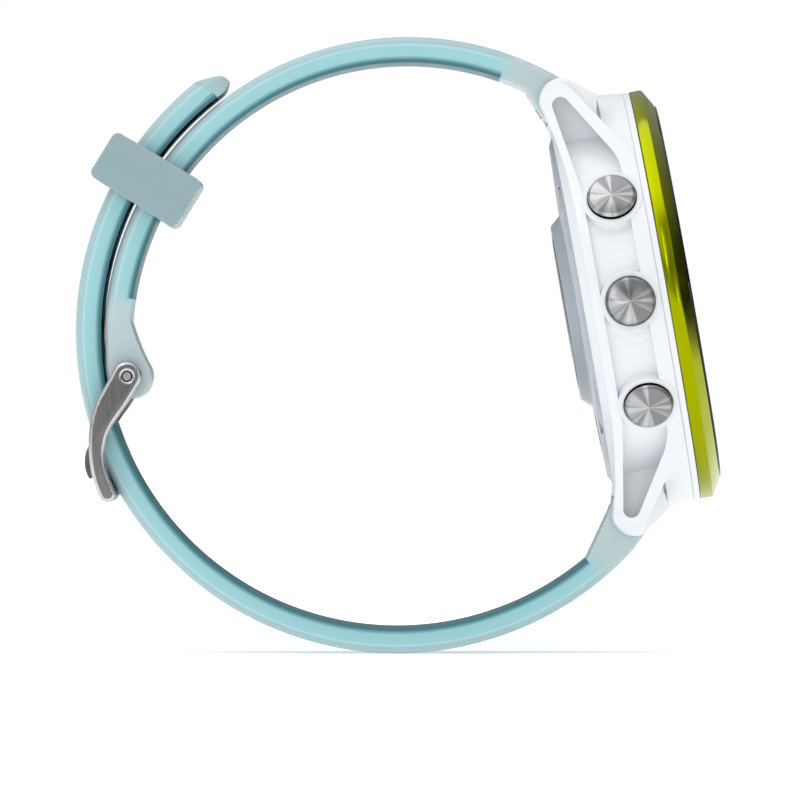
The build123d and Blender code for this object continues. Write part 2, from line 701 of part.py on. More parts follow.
with BuildPart() as band_cuts:
    # adjustment holes
    for degrees in hole_angles:
        with BuildSketch(band_plane(LONG_CENTRE, LONG_INNER + BAND_THICKNESS / 2, degrees)):
            SlotOverall(HOLE_LENGTH, HOLE_WIDTH)
        extrude(amount=BAND_THICKNESS, both=True)
    # the tail's rounded end
    with BuildSketch(band_plane(LONG_CENTRE, LONG_INNER + BAND_THICKNESS / 2, TAIL_ANGLE)):
        with BuildLine():
            reach = BAND_WIDTH / 2
            ThreePointArc((0.6, -reach), (-TAIL_BULGE, 0), (0.6, reach))
            over = reach + 2
            Polyline((0.6, reach), (0.6, over), (-8, over), (-8, -over), (0.6, -over), (0.6, -reach))
        make_face()
    extrude(amount=3, both=True)

lug_cut_planes = {name: lever_plane(lug, 0) for name, lug in lever_bars.items()}


def bar_cut(name, lug):
    """The bore for a spring bar, with the slot that its lever slides in."""
    with BuildPart() as cut:
        with BuildSketch(loop):
            with Locations(head_point(BAR_HEIGHT, lug * BAR_REACH)):
                Circle(BAR_TUBE_RADIUS + SNUG)
        extrude(amount=BAND_WIDTH, both=True)
        with BuildSketch(lug_cut_planes[name]):
            with Locations((-LEVER_TRAVEL / 2, 0)):
                SlotCenterToCenter(LEVER_TRAVEL + 0.7, 2 * (LEVER_KNOB + 0.3))
        extrude(amount=4)
    return cut.part


upper_cut = bar_cut("upper", 1)
lower_cut = bar_cut("lower", -1)

with BuildPart() as short_band:
    with BuildSketch(loop):
        with BuildLine():
            short_band_outline()
        make_face()
    extrude(amount=BAND_WIDTH / 2, both=True)
    flank_edges = short_band.faces().filter_by(Axis.Y).edges().filter_by(GeomType.CIRCLE)
    fillet(flank_edges.group_by(SortBy.RADIUS)[-1], BAND_FLANK_ROUND)
    add(upper_cut, mode=Mode.SUBTRACT)
    # bore for the buckle's pin and room for the tongue's eye
    with BuildSketch(loop):
        with Locations(PIN):
            Circle(PIN_RADIUS + SNUG)
    extrude(amount=BAND_WIDTH, both=True, mode=Mode.SUBTRACT)
    with BuildSketch(Plane.XY.offset(PIN[1])):
        with Locations((PIN[0], 0)):
            Rectangle(12, 2 * TONGUE_HALF_WIDTH + 1.0)
    extrude(amount=-6, mode=Mode.SUBTRACT)
    with BuildSketch(across(PIN, -TONGUE_HALF_WIDTH - 0.5)):
        Circle(2.1)
    extrude(amount=2 * TONGUE_HALF_WIDTH + 1.0, mode=Mode.SUBTRACT)
    with BuildSketch(loop):
        with BuildLine():
            liner_outline(SHORT_CENTRE, SHORT_INNER, SHORT_LINER_ARC, 1.0)
        make_face()
    extrude(amount=BAND_WIDTH, both=True, mode=Mode.SUBTRACT)
save(short_band.part, "short_band_outer")

with BuildPart() as short_liner:
    with BuildSketch(loop):
        with BuildLine():
            liner_outline(SHORT_CENTRE, SHORT_INNER, SHORT_LINER_ARC, 0.0)
        make_face()
    extrude(amount=BAND_WIDTH / 2, both=True)
save(short_liner.part, "short_band_liner")

with BuildPart() as long_band:
    with BuildSketch(loop):
        with BuildLine():
            long_band_outline()
        make_face()
    extrude(amount=BAND_WIDTH / 2, both=True)
    flank_edges = long_band.faces().filter_by(Axis.Y).edges().filter_by(GeomType.CIRCLE)
    fillet(flank_edges.group_by(SortBy.RADIUS)[-1], BAND_FLANK_ROUND)
    add(lower_cut, mode=Mode.SUBTRACT)
    add(band_cuts.part, mode=Mode.SUBTRACT)
    with BuildSketch(loop):
        with BuildLine():
            liner_outline(LONG_CENTRE, LONG_INNER, LONG_LINER_ARC, 1.0)
        make_face()
    extrude(amount=BAND_WIDTH, both=True, mode=Mode.SUBTRACT)
save(long_band.part, "long_band_outer")

with BuildPart() as long_liner:
    with BuildSketch(loop):
        with BuildLine():
            liner_outline(LONG_CENTRE, LONG_INNER, LONG_LINER_ARC, 0.0)
        make_face()
    extrude(amount=BAND_WIDTH / 2, both=True)
    add(band_cuts.part, mode=Mode.SUBTRACT)
save(long_liner.part, "long_band_liner")

# ---------------------------------------------------------------- keeper
keeper_middle = (KEEPER_RADII[0] + KEEPER_RADII[1]) / 2
keeper_depth = KEEPER_RADII[1] - KEEPER_RADII[0]
with BuildPart() as keeper:
    with BuildSketch(loop):
        with BuildLine():
            Polyline(
                on_circle(SHORT_CENTRE, KEEPER_RADII[0], KEEPER_ANGLE - 6.1),
                on_circle(SHORT_CENTRE, KEEPER_RADII[1], KEEPER_ANGLE - 4.1),
                on_circle(SHORT_CENTRE, KEEPER_RADII[1], KEEPER_ANGLE + 4.1),
                on_circle(SHORT_CENTRE, KEEPER_RADII[0], KEEPER_ANGLE + 6.1),
                close=True,
            )
        make_face()
    extrude(amount=KEEPER_HALF_WIDTH, both=True)
    fillet(keeper.edges().filter_by(Axis.Y), KEEPER_ROUND)
    with BuildSketch(band_plane(SHORT_CENTRE, keeper_middle, KEEPER_ANGLE).rotated((0, 90, 0))):
        RectangleRounded(keeper_depth - 2 * KEEPER_WALL, 2 * (KEEPER_HALF_WIDTH - KEEPER_WALL), 0.6)
    extrude(amount=6, both=True, mode=Mode.SUBTRACT)
save(keeper.part, "keeper")

# ---------------------------------------------------------------- buckle
def beside_pin(x, z):
    """A point of the loop plane, given from the buckle's pin."""
    return (PIN[0] + x, PIN[1] + z)


def frame_outline():
    """Side view of the buckle's frame: an eye round the pin and a curved arm that widens to the bar."""
    outer_eye = beside_pin(-1.36, 0.64)
    inner_eye = beside_pin(1.28, -0.78)
    outer_foot = beside_pin(-2.75, -12.4)
    inner_foot = beside_pin(-1.1, -12.0)
    ThreePointArc(inner_eye, beside_pin(0.64, 1.36), outer_eye)
    Spline(
        outer_eye,
        beside_pin(-3.22, -2.9),
        beside_pin(-3.9, -7.0),
        beside_pin(-3.6, -9.9),
        outer_foot,
        tangents=((-0.43, -0.9), (0.42, -0.91)),
    )
    ThreePointArc(outer_foot, beside_pin(-1.75, -12.8), inner_foot)
    Spline(
        inner_foot,
        beside_pin(-1.9, -10.0),
        beside_pin(-2.28, -7.9),
        beside_pin(-1.75, -5.5),
        beside_pin(-0.3, -3.3),
        inner_eye,
        tangents=((-0.35, 0.94), (0.52, 0.855)),
    )


with BuildPart() as buckle_frame:
    with BuildSketch(loop):
        with BuildLine():
            frame_outline()
        make_face()
    extrude(amount=FRAME_OUTER, both=True)
    # room for the band between the arms, and for the band's curve under the bar
    with BuildSketch(across(beside_pin(-2, -2.2), -FRAME_INNER)):
        Rectangle(14, 14.8)
    extrude(amount=2 * FRAME_INNER, mode=Mode.SUBTRACT)
    with BuildSketch(across(LONG_CENTRE, -FRAME_INNER)):
        Circle(long_outer + BODY_GAP)
    extrude(amount=2 * FRAME_INNER, mode=Mode.SUBTRACT)
    # notch that the tongue's tip rests in
    with BuildSketch(across(beside_pin(-4.4, -9.9), -TONGUE_HALF_WIDTH - 0.3)):
        Rectangle(2.9, 2.4)
    extrude(amount=2 * TONGUE_HALF_WIDTH + 0.6, mode=Mode.SUBTRACT)
    with BuildSketch(across(PIN, -FRAME_OUTER)):
        Circle(PIN_TIP_RADIUS + RUNNING_FIT)
    extrude(amount=2 * FRAME_OUTER, mode=Mode.SUBTRACT)
save(buckle_frame.part, "buckle_frame")

with BuildPart() as buckle_pin:
    with BuildSketch(across(PIN, -BAND_WIDTH / 2)):
        Circle(PIN_RADIUS)
    extrude(amount=BAND_WIDTH)
    with BuildSketch(across(PIN, -FRAME_OUTER)):
        Circle(PIN_TIP_RADIUS)
    extrude(amount=2 * FRAME_OUTER)
save(buckle_pin.part, "buckle_pin")

with BuildPart() as buckle_tongue:
    with BuildSketch(loop):
        with BuildLine():
            # a flat strip that is tangent to its eye, crosses the band and bends down over the bar
            slope = math.radians(32.5)
            run = (-math.sin(slope), -math.cos(slope))
            square = (math.cos(slope), -math.sin(slope))
            lower_start = beside_pin(1.6 * square[0], 1.6 * square[1])
            lower_end = beside_pin(8.3 * run[0] + 1.6 * square[0], 8.3 * run[1] + 1.6 * square[1])
            upper_start = beside_pin(-1.5 * square[0], -1.5 * square[1])
            upper_neck = beside_pin(1.6 * run[0] + 0.55 * square[0], 1.6 * run[1] + 0.55 * square[1])
            upper_end = beside_pin(7.0 * run[0] + 0.5 * square[0], 7.0 * run[1] + 0.5 * square[1])
            Line(lower_start, lower_end)
            ThreePointArc(lower_end, beside_pin(-3.28, -9.0), beside_pin(-3.05, -10.3))
            Line(beside_pin(-3.05, -10.3), beside_pin(-4.05, -10.5))
            ThreePointArc(beside_pin(-4.05, -10.5), beside_pin(-4.5, -8.3), upper_end)
            Line(upper_end, upper_neck)
            Line(upper_neck, upper_start)
            ThreePointArc(upper_start, beside_pin(-1.5 * run[0], -1.5 * run[1]), lower_start)
        make_face()
    extrude(amount=TONGUE_HALF_WIDTH, both=True)
    with BuildSketch(across(PIN, -TONGUE_HALF_WIDTH)):
        Circle(PIN_RADIUS + RUNNING_FIT)
    extrude(amount=2 * TONGUE_HALF_WIDTH, mode=Mode.SUBTRACT)
save(buckle_tongue.part, "buckle_tongue")
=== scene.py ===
"""Looks of the GPS running watch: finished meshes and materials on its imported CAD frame."""
import math

import bmesh
import bpy
from mathutils import Matrix, Vector


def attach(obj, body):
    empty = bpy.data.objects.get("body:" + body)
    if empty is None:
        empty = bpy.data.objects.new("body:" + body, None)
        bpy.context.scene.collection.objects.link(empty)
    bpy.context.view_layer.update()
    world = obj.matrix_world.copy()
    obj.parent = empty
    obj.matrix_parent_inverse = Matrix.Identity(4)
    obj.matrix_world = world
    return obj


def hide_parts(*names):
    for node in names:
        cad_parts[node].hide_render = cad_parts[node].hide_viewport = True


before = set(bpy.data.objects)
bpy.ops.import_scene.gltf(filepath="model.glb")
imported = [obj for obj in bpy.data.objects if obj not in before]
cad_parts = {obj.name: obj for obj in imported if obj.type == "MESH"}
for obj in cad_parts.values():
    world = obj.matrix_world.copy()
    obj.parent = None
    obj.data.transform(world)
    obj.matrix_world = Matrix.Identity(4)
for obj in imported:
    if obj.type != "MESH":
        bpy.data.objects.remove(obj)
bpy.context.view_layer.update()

# ---------------------------------------------------------------- sizes
# Lengths are in millimetres and angles in degrees, as in the CAD. A point of the loop plane is
# (x, z), and an arc's angles are counted about its band's centre.
MM = 0.001
LEAN = math.radians(10.0)
DIAL_OUT = Vector((math.cos(LEAN), 0, math.sin(LEAN)))
DIAL_UP = Vector((-math.sin(LEAN), 0, math.cos(LEAN)))
ORIGIN = Vector((0, 0, 0))
ACROSS = Vector((0, 1, 0))

# both bands
HALF_WIDTH = 10.0
THICKNESS = 2.6
LINER = 0.6
FLANK_ROUND = 0.8
EDGE_ROUND = 0.2
JOINT_ROUND = 0.01  # where a band's body and its liner meet
ROUND_STEPS = 5

# the band's thick end at its lug, as heights over the wrist and reaches from the dial's middle
LUG_NOSE = (6.1, 19.65)
LUG_FOOT = (1.7, 19.6)
LUG_TIP = (6.4, 21.4)
LUG_HEEL = (1.05, 20.4)
LUG_STEPS = 5

# short band
SHORT_CENTRE = (-16.15, -2.85)
SHORT_INNER = 28.4
SHORT_LINER_ARC = (70.7, 171.4)
SHORT_INNER_ARC = (65.0, 176.0)
SHORT_OUTER_ARC = (60.0, 176.0)
SHORT_STEPS = 150
SHORT_LINER_STEPS = 130

# the short band's end round the buckle's pin
PIN = (-44.8, -6.5)
BULB_CENTRE = (-44.65, -6.5)
BULB_RADIUS = 2.3
BULB_NECK = (-43.6, -3.75)
BULB_FOOT = 185.0
BULB_INNER_TURN = (25.0, -80.0)
BULB_OUTER_TURN = (-172.0, -90.0)
NECK_STEPS = 8
BULB_STEPS = 12
TONGUE_SLOT = (
    (-3.4, -6.0), (-3.4, 0.0), (-2.1, 0.0), (-1.5, 1.5), (0.0, 2.1),
    (1.5, 1.5), (2.1, 0.0), (3.4, 0.0), (3.4, -6.0),
)
TONGUE_SLOT_REACH = 1.5

# long band
LONG_CENTRE = (-17.25, -1.98)
LONG_INNER = 30.2
LONG_LINER_ARC = (309.8, 127.5)
LONG_INNER_ARC = (310.0, 130.5)
LONG_OUTER_ARC = (317.0, 131.5)
LONG_STEPS = 240
LONG_LINER_STEPS = 230
HOLE_LENGTH = 5.2
HOLE_WIDTH = 2.8
HOLE_REACH = 2.2
HOLE_STEPS = 12
HOLE_ANGLES = [197.5 + 12.4 * step for step in range(-4, 4)]

# the long band's rounded tail, each station as (angle, height over the inner face) of its inner
# and its outer point
TAIL_ANGLE = 127.5
TAIL_RADIUS = 19.26
TAIL_BULGE = 2.8
TAIL_START = 0.6
TAIL_LEAST_SQUARE = 0.04
TAIL_SHAPE = (
    ((129.5, LINER), (130.7, 2.6)), ((128.6, LINER), (130.0, 2.6)), ((127.52, LINER), (129.3, 2.6)),
    ((127.48, 0.0), (129.2, 2.6)), ((126.6, 0.0), (128.6, 2.58)), ((126.0, 0.02), (127.6, 2.4)),
    ((125.3, 0.14), (126.5, 2.15)), ((124.8, 0.28), (125.5, 1.95)), ((124.3, 0.45), (124.7, 1.75)),
    ((123.95, 0.66), (124.2, 1.5)), ((123.75, 0.8), (123.9, 1.25)),
)

# turned pieces, as (height, radius) along their own axis
ON_AXIS = 1e-6
DIAL_SEGMENTS = 256
BEZEL_PROFILE = (
    (10.35, 19.6), (10.35, 21.08), (10.39, 21.16), (10.47, 21.2), (11.55, 21.2), (11.62, 21.17),
    (11.68, 21.11), (12.5, 19.72), (12.57, 19.62), (12.6, 19.55), (12.6, 19.42), (12.5, 19.4),
    (11.6, 19.4), (11.6, 19.6),
)
GLASS_PROFILE = (
    (11.6, 0.0), (11.6, 19.35), (12.7, 19.35), (12.77, 19.33), (12.82, 19.28), (12.85, 19.2),
    (12.85, 0.0),
)
CAP_SEGMENTS = 128
CAP_PROFILE = (
    (-5.0, 0.0), (-5.0, 0.85), (-4.95, 0.9), (-1.2, 0.9), (-1.2, 2.42), (-1.15, 2.465),
    (-0.32, 2.465), (-0.26, 2.44), (-0.06, 2.26), (-0.02, 2.23), (0.0, 2.18), (0.0, 0.0),
)
CAP_FACE = 22.0
CAP_HEIGHT = 6.5
BUTTON_ANGLES = {"light": 150, "up": 180, "down": 210, "start": 30, "back": -30}

# the buckle frame's rounded flanks
FRAME_OUTER = 12.1
FLANK_EDGE = 0.34
FLANK_STEPS = 4

# edges sharper than this stay sharp in the shading
SKIN_ANGLE = 38


# ---------------------------------------------------------------- materials
def srgb(red, green, blue):
    """A linear colour from 8-bit values."""
    def linear(value):
        value /= 255
        return value / 12.92 if value <= 0.04045 else ((value + 0.055) / 1.055) ** 2.4

    return (linear(red), linear(green), linear(blue), 1.0)


def dimmed(colour, factor):
    """A colour with its three channels scaled."""
    return tuple(channel * factor for channel in colour[:3]) + (1.0,)


class Nodes:
    """A node tree and a few short ways to add nodes to it."""

    def __init__(self, tree):
        self.tree = tree
        self.base = None

    def add(self, kind, **settings):
        node = self.tree.nodes.new(kind)
        for key, value in settings.items():
            setattr(node, key, value)
        return node

    def join(self, source, target):
        self.tree.links.new(source, target)

    def place(self, kind="Object"):
        """Coordinates, by default those that stay with the piece."""
        if self.base is None:
            self.base = self.add("ShaderNodeTexCoord")
        return self.base.outputs[kind]

    def axes(self, kind="Object"):
        """The same coordinates as separate X, Y and Z."""
        parts = self.add("ShaderNodeSeparateXYZ")
        self.join(self.place(kind), parts.inputs[0])
        return parts.outputs

    def math(self, operation, first, second=None):
        node = self.add("ShaderNodeMath", operation=operation)
        for index, value in enumerate((first, second)):
            if value is None:
                continue
            if isinstance(value, (int, float)):
                node.inputs[index].default_value = value
            else:
                self.join(value, node.inputs[index])
        return node.outputs[0]

    def distance(self, first, second):
        """The length of a two-part offset."""
        squares = self.math("MULTIPLY", first, first), self.math("MULTIPLY", second, second)
        return self.math("SQRT", self.math("ADD", *squares))

    def pair(self, first, second):
        """Two values as a vector."""
        node = self.add("ShaderNodeCombineXYZ")
        self.join(first, node.inputs["X"])
        self.join(second, node.inputs["Y"])
        return node.outputs[0]

    def ramp(self, value, low, high, start=0.0, end=1.0):
        """A soft step of a value between two limits."""
        node = self.add("ShaderNodeMapRange", interpolation_type="SMOOTHSTEP")
        self.join(value, node.inputs["Value"])
        node.inputs["From Min"].default_value = low
        node.inputs["From Max"].default_value = high
        node.inputs["To Min"].default_value = start
        node.inputs["To Max"].default_value = end
        return node.outputs["Result"]


class Finish(Nodes):
    """A material under construction, on its Principled shader."""

    def __init__(self, name, colour, roughness, metallic=0.0, **sockets):
        self.material = bpy.data.materials.new(name)
        self.material.use_nodes = True
        super().__init__(self.material.node_tree)
        self.shader = self.tree.nodes["Principled BSDF"]
        self.shader.inputs["Base Color"].default_value = colour
        self.shader.inputs["Roughness"].default_value = roughness
        self.shader.inputs["Metallic"].default_value = metallic
        for socket, value in sockets.items():
            self.shader.inputs[socket.replace("_", " ")].default_value = value
        self.colour = colour

    def mix(self, factor, first, second):
        node = self.add("ShaderNodeMix", data_type="RGBA")
        self.join(factor, node.inputs[0])
        for socket, value in ((node.inputs[6], first), (node.inputs[7], second)):
            if isinstance(value, tuple):
                socket.default_value = value
            else:
                self.join(value, socket)
        return node.outputs[2]

    def noise(self, scale, detail=3.0, stretch=None):
        """Noise in the piece's own coordinates, with its scale in lumps per metre."""
        texture = self.add("ShaderNodeTexNoise")
        texture.inputs["Scale"].default_value = scale
        texture.inputs["Detail"].default_value = detail
        source = self.place()
        if stretch:
            mapping = self.add("ShaderNodeMapping")
            mapping.inputs["Scale"].default_value = stretch
            self.join(source, mapping.inputs["Vector"])
            source = mapping.outputs["Vector"]
        self.join(source, texture.inputs["Vector"])
        return texture.outputs["Fac"]

    def bump(self, height, strength, distance):
        """Relief from a height, with its depth in metres."""
        node = self.add("ShaderNodeBump")
        node.inputs["Strength"].default_value = strength
        node.inputs["Distance"].default_value = distance
        self.join(height, node.inputs["Height"])
        self.join(node.outputs["Normal"], self.shader.inputs["Normal"])

    def paint(self, colour):
        self.join(colour, self.shader.inputs["Base Color"])

    def vary_colour(self, fac, amount):
        """Darkens the base colour a little where the given value is low."""
        self.paint(self.mix(fac, dimmed(self.colour, 1 - amount), self.colour))

    def vary_roughness(self, fac, low, high):
        self.join(self.ramp(fac, 0.3, 0.7, low, high), self.shader.inputs["Roughness"])


def moulded(name, colour, roughness, grain=2600.0, depth=0.000006, **sockets):
    """Moulded plastic or rubber: a fine spark-eroded grain and a slight cloud in its colour."""
    finish = Finish(name, colour, roughness, **sockets)
    finish.vary_colour(finish.noise(90.0, 2.0), 0.035)
    finish.vary_roughness(finish.noise(420.0), roughness - 0.05, roughness + 0.07)
    finish.bump(finish.noise(grain, 4.0), 0.35, depth)
    return finish.material


def brushed(name, colour, roughness, stretch, **sockets):
    """Metal with fine straight brushing along one direction."""
    finish = Finish(name, colour, roughness, 1.0, **sockets)
    streaks = finish.noise(5200.0, 5.0, stretch)
    finish.vary_colour(streaks, 0.42)
    finish.vary_roughness(streaks, roughness - 0.07, roughness + 0.1)
    finish.bump(streaks, 0.3, 0.000006)
    return finish.material


def polar(finish, centre):
    """Radius in millimetres and angle in degrees of a point, about a centre in the loop plane."""
    axes = finish.axes()
    x = finish.math("SUBTRACT", axes["X"], centre[0] * MM)
    z = finish.math("SUBTRACT", axes["Z"], centre[1] * MM)
    radius = finish.math("MULTIPLY", finish.distance(x, z), 1000.0)
    turn = finish.math("MULTIPLY", finish.math("ARCTAN2", z, x), 180 / math.pi)
    return radius, finish.math("FLOORED_MODULO", turn, 360.0)


RIM = srgb(158, 186, 190)
LINE = srgb(172, 208, 214)
BODY = srgb(149, 199, 205)
CLEAR = srgb(180, 197, 199)
# the liner's teal, darkened as painted shade
PAINTED_SHADE_TEAL = srgb(50, 108, 117)
DULL_STEEL = srgb(132, 133, 135)
BRIGHT_STEEL = srgb(232, 233, 235)
# near black painted on the caps' side walls as painted shade in the gap round them
GAP_PAINTED_SHADE = srgb(14, 14, 15)
CORE_EDGE = srgb(118, 172, 181)

# where the colours of the band's flank change, in millimetres under its outer face
LINE_DEPTHS = (0.95, 0.8)
RIM_DEPTHS = (0.78, 0.55)
# how far the turquoise core fades out, in degrees before and after the end of the liner
FADE_OUT = 3.5
FADE_IN = 2.0


def band_rubber(name, centre, inner, liner_arc):
    """Two-shot rubber: a turquoise core under a pale clear skin, fading to clear at both ends."""
    finish = Finish(name, BODY, 0.42, Subsurface_Weight=0.35, Subsurface_Scale=0.0012)
    finish.shader.inputs["Subsurface Radius"].default_value = (0.7, 1.0, 1.0)
    radius, angle = polar(finish, centre)
    outer = inner + THICKNESS
    low, high = sorted(liner_arc)
    line = finish.ramp(radius, outer - LINE_DEPTHS[0], outer - LINE_DEPTHS[1])
    skin = finish.ramp(radius, outer - RIM_DEPTHS[0], outer - RIM_DEPTHS[1])
    core = finish.mix(skin, finish.mix(line, BODY, LINE), RIM)
    start = finish.ramp(angle, low - FADE_OUT, low + FADE_IN)
    end = finish.ramp(angle, high - FADE_IN, high + FADE_OUT, 1.0, 0.0)
    clear = finish.mix(finish.noise(130.0, 2.0), dimmed(CLEAR, 0.94), CLEAR)
    finish.paint(finish.mix(finish.math("MULTIPLY", start, end), clear, core))
    finish.vary_roughness(finish.noise(500.0), 0.36, 0.5)
    finish.bump(finish.noise(1900.0, 4.0), 0.3, 0.000008)
    return finish.material


def liner_rubber(name, centre, inner):
    """The teal layer on the wrist's side: its teal is darkened as painted shade, and on its flanks
    the painted shade fades, so it is paler where it meets the turquoise core.
    """
    finish = Finish(name, PAINTED_SHADE_TEAL, 0.5, Subsurface_Weight=0.15, Subsurface_Scale=0.0008)
    radius, _ = polar(finish, centre)
    # painted shade: each flank darkens from the core's turquoise to the dark teal towards the
    # wrist's face
    flank = finish.mix(finish.ramp(radius, inner + 0.22, inner + LINER), PAINTED_SHADE_TEAL, CORE_EDGE)
    cloud = finish.ramp(finish.noise(140.0, 2.0), 0.3, 0.7)
    face = finish.mix(cloud, dimmed(PAINTED_SHADE_TEAL, 0.93), PAINTED_SHADE_TEAL)
    finish.paint(finish.mix(finish.ramp(radius, inner + 0.02, inner + 0.1), face, flank))
    finish.vary_roughness(finish.noise(500.0), 0.44, 0.58)
    finish.bump(finish.noise(2100.0, 4.0), 0.3, 0.00001)
    return finish.material


def anodised():
    """Yellow-green anodised aluminium with streaks in its colour and gentle waves in its relief."""
    finish = Finish("bezel_yellow_green", srgb(148, 156, 3), 0.17, 1.0, Anisotropic=0.3)
    axes = finish.axes()
    streaks = finish.add("ShaderNodeTexNoise", noise_dimensions="2D")
    streaks.inputs["Scale"].default_value = 1.0
    up = finish.math("MULTIPLY", axes["Z"], 9000.0)
    out = finish.math("MULTIPLY", axes["X"], 40.0)
    finish.join(finish.pair(up, out), streaks.inputs["Vector"])
    finish.vary_colour(streaks.outputs["Fac"], 0.1)
    finish.vary_roughness(finish.noise(300.0), 0.16, 0.27)
    swell = finish.math("MULTIPLY", finish.noise(170.0, 1.0), 30.0)
    finish.bump(finish.math("ADD", swell, streaks.outputs["Fac"]), 0.35, 0.000006)
    return finish.material


def turned_steel():
    """Steel faced on a lathe: fine rings round the button's own axis.

    The fan of light and dark rays is a colour fixed to the cap. It stands for the reflection that
    turned steel shows.
    """
    finish = Finish("button_steel", srgb(176, 177, 179), 0.36, 1.0, Anisotropic=1.0)
    tangent = finish.add("ShaderNodeTangent", direction_type="RADIAL", axis="Z")
    finish.join(tangent.outputs[0], finish.shader.inputs["Tangent"])
    axes = finish.axes()
    x, y = axes["X"], axes["Y"]
    radius = finish.distance(x, y)
    rings = finish.add("ShaderNodeTexNoise", noise_dimensions="1D")
    rings.inputs["Scale"].default_value = 16000.0
    rings.inputs["Detail"].default_value = 4.0
    finish.join(radius, rings.inputs["W"])
    safe = finish.math("ADD", radius, 0.00002)
    rays = finish.add("ShaderNodeTexNoise", noise_dimensions="2D")
    rays.inputs["Scale"].default_value = 1.7
    rays.inputs["Detail"].default_value = 4.0
    around = finish.pair(finish.math("DIVIDE", x, safe), finish.math("DIVIDE", y, safe))
    finish.join(around, rays.inputs["Vector"])
    fan = finish.ramp(rays.outputs["Fac"], 0.38, 0.62)
    fine = finish.mix(rings.outputs["Fac"], DULL_STEEL, finish.mix(fan, DULL_STEEL, BRIGHT_STEEL))
    # painted shade: the cap's side wall, from 0.3 to 0.36 mm under its face downwards, is painted
    # near black for the shade in the gap round the cap
    shaded_wall = finish.ramp(axes["Z"], -0.00036, -0.0003)
    finish.paint(finish.mix(shaded_wall, GAP_PAINTED_SHADE, fine))
    finish.vary_roughness(rings.outputs["Fac"], 0.3, 0.38)
    finish.bump(rings.outputs["Fac"], 0.1, 0.000002)
    return finish.material


white = moulded("case_white", srgb(226, 229, 232), 0.38)
grey_back = moulded("case_back_grey", srgb(166, 174, 182), 0.34)
keeper_rubber = moulded(
    "keeper_teal", srgb(140, 167, 171), 0.45, 1800.0, 0.000008,
    Subsurface_Weight=0.5, Subsurface_Scale=0.0015,
)
sensor_dark = moulded(
    "sensor_glass", srgb(12, 13, 16), 0.1, 300.0, 0.0000005, Specular_IOR_Level=0.3
)
glass_black = moulded(
    "cover_glass_black", srgb(7, 7, 8), 0.08, 260.0, 0.0000004, Specular_IOR_Level=0.3
)
inner_black = moulded("inner_black", srgb(28, 29, 31), 0.55)
seal_black = moulded("seal_black", srgb(18, 18, 19), 0.65)
display_dark = moulded("display_dark", srgb(20, 24, 28), 0.2)
board_green = moulded("board_green", srgb(20, 72, 44), 0.45, 900.0)
chip_black = moulded("chip_black", srgb(24, 25, 27), 0.5)
battery_silver = brushed("battery_silver", srgb(176, 180, 184), 0.35, (0.1, 1, 1))
motor_steel = brushed("motor_steel", srgb(168, 170, 173), 0.3, (1, 0.1, 1))
pin_steel = brushed("pin_steel", srgb(184, 186, 189), 0.25, (1, 0.05, 1))
screw_steel = brushed("screw_steel", srgb(150, 152, 156), 0.3, (1, 1, 0.1))
copper = brushed("antenna_copper", srgb(188, 118, 78), 0.3, (1, 0.1, 1))
gold = brushed("contact_gold", srgb(214, 170, 84), 0.25, (0.2, 1, 1))
buckle_brushed = brushed(
    "buckle_steel", srgb(132, 132, 133), 0.36, (1, 1, 0.06), Anisotropic=0.5
)
buckle_polished = brushed("buckle_polished", srgb(212, 212, 214), 0.28, (1, 1, 0.1))
short_liner_rubber = liner_rubber("band_turquoise", SHORT_CENTRE, SHORT_INNER)
long_liner_rubber = liner_rubber("band_turquoise_long", LONG_CENTRE, LONG_INNER)
bezel_metal = anodised()
button_metal = turned_steel()
short_rubber = band_rubber("band_clear_teal", SHORT_CENTRE, SHORT_INNER, SHORT_LINER_ARC)
long_rubber = band_rubber("band_clear_teal_long", LONG_CENTRE, LONG_INNER, LONG_LINER_ARC)

NODE_FINISH = {
    "back_gasket": seal_black, "battery": battery_silver, "board_chips": chip_black,
    "buckle_frame": buckle_brushed, "buckle_pin": pin_steel, "buckle_tongue": buckle_brushed,
    "button_switches": motor_steel, "case_back": grey_back, "case_back_screw": screw_steel,
    "case_middle": white, "charge_pins": gold, "charge_socket": inner_black, "clip": motor_steel,
    "cover_glass": glass_black, "display_gasket": seal_black, "display_panel": display_dark,
    "gnss_antenna": copper, "inner_frame": inner_black, "keeper": keeper_rubber,
    "long_band_liner": long_liner_rubber, "main_board": board_green, "quick_release": pin_steel,
    "seal": seal_black, "sensor_board": board_green, "sensor_optics": display_dark,
    "sensor_window": sensor_dark, "short_band_liner": short_liner_rubber, "speaker": inner_black,
    "spring_bar": pin_steel, "vibration_motor": motor_steel,
}


def finish_of(node):
    """The material whose key is the longest start of the node's name."""
    found = [key for key in NODE_FINISH if node.startswith(key)]
    return NODE_FINISH[max(found, key=len)] if found else None


for name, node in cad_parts.items():
    chosen = finish_of(name)
    if chosen:
        node.data.materials.clear()
        node.data.materials.append(chosen)


# ---------------------------------------------------------------- mesh helpers
def on_circle(centre, radius, degrees):
    turn = math.radians(degrees)
    return (centre[0] + radius * math.cos(turn), centre[1] + radius * math.sin(turn))


def head_point(height, reach):
    """A point of the loop plane, from its height over the wrist and its reach up the dial."""
    spot = DIAL_OUT * height + DIAL_UP * reach
    return (spot.x, spot.z)


def in_space(point):
    """A point of the loop plane in the middle of the band's width."""
    return Vector((point[0], 0, point[1]))


def part_way(limits, share):
    return limits[0] + (limits[1] - limits[0]) * share


def between(start, end, share):
    return tuple(part_way(limits, share) for limits in zip(start, end))


def add_object(name, data):
    """A new object in the scene."""
    made = bpy.data.objects.new(name, data)
    bpy.context.scene.collection.objects.link(made)
    return made


def mesh_object(name, mesh_data):
    """A new object in the scene from a bmesh, which is freed."""
    mesh = bpy.data.meshes.new(name)
    mesh_data.to_mesh(mesh)
    mesh_data.free()
    return add_object(name, mesh)


